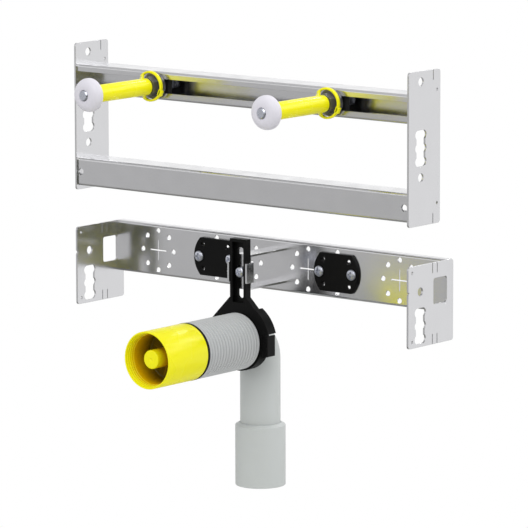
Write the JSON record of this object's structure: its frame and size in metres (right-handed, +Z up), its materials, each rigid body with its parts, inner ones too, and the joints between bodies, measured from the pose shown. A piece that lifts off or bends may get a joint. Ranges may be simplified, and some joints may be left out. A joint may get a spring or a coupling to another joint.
{
  "type": "washbasin installation frame",
  "caption": "Wall installation frame for a washbasin: stud rail between side plates, tap crossbar with perforated tray, and a clamped drain bend with sleeve and cap.",
  "frame": {"origin": "outer face of the upper left side plate, in the column of its post holes, level with the basin studs", "axes": "+X along the rails from the left post to the right post, +Y away from the basin into the wall, +Z up"},
  "size_m": [0.42, 0.2088, 0.4286],
  "materials": {
    "galvanised_steel": "satin",
    "zinc_plated_steel": "satin",
    "blackened_steel": "satin",
    "black_plastic": "matte",
    "black_rubber": "matte",
    "grey_pipe": "satin",
    "grey_sleeve": "matte",
    "yellow_plastic": "satin",
    "white_plastic": "satin"
  },
  "bodies": {
    "frame": {"upper_left_side_plate": "galvanised_steel", "upper_right_side_plate": "galvanised_steel", "upper_fixing_rail": "galvanised_steel", "lower_cross_rail": "galvanised_steel", "fitting_tray": "galvanised_steel", "lower_left_end_plate": "galvanised_steel", "lower_right_end_plate": "galvanised_steel", "drain_arm": "galvanised_steel", "bracket_screw": "zinc_plated_steel", "bracket_nut": "zinc_plated_steel", "left_tap_outer_screw": "zinc_plated_steel", "left_tap_inner_screw": "zinc_plated_steel", "right_tap_outer_screw": "zinc_plated_steel", "right_tap_inner_screw": "zinc_plated_steel", "left_tap_plate": "black_plastic", "right_tap_plate": "black_plastic"},
    "left_stud": {"left_rail_nut": "blackened_steel", "left_threaded_rod": "zinc_plated_steel", "left_steel_washer": "zinc_plated_steel", "left_protection_sleeve": "yellow_plastic", "left_basin_washer": "white_plastic"},
    "right_stud": {"right_rail_nut": "blackened_steel", "right_threaded_rod": "zinc_plated_steel", "right_steel_washer": "zinc_plated_steel", "right_protection_sleeve": "yellow_plastic", "right_basin_washer": "white_plastic"},
    "drain": {"clamp_bracket": "black_plastic", "clamp_strap": "black_plastic", "drain_bend": "grey_pipe", "outlet_socket": "grey_pipe", "ribbed_sleeve": "grey_sleeve", "seal_ring": "black_rubber", "protection_cap": "yellow_plastic"}
  },
  "joints": [
    {"name": "left_stud_slide", "type": "slide", "parent": "frame", "child": "left_stud", "axis": [1, 0, 0], "range_m": [-0.08, 0.055]},
    {"name": "right_stud_slide", "type": "slide", "parent": "frame", "child": "right_stud", "axis": [1, 0, 0], "range_m": [-0.0665, 0.0685]},
    {"name": "drain_height_slide", "type": "slide", "parent": "frame", "child": "drain", "axis": [0, 0, 1], "range_m": [-0.018, 0.01]}
  ]
}
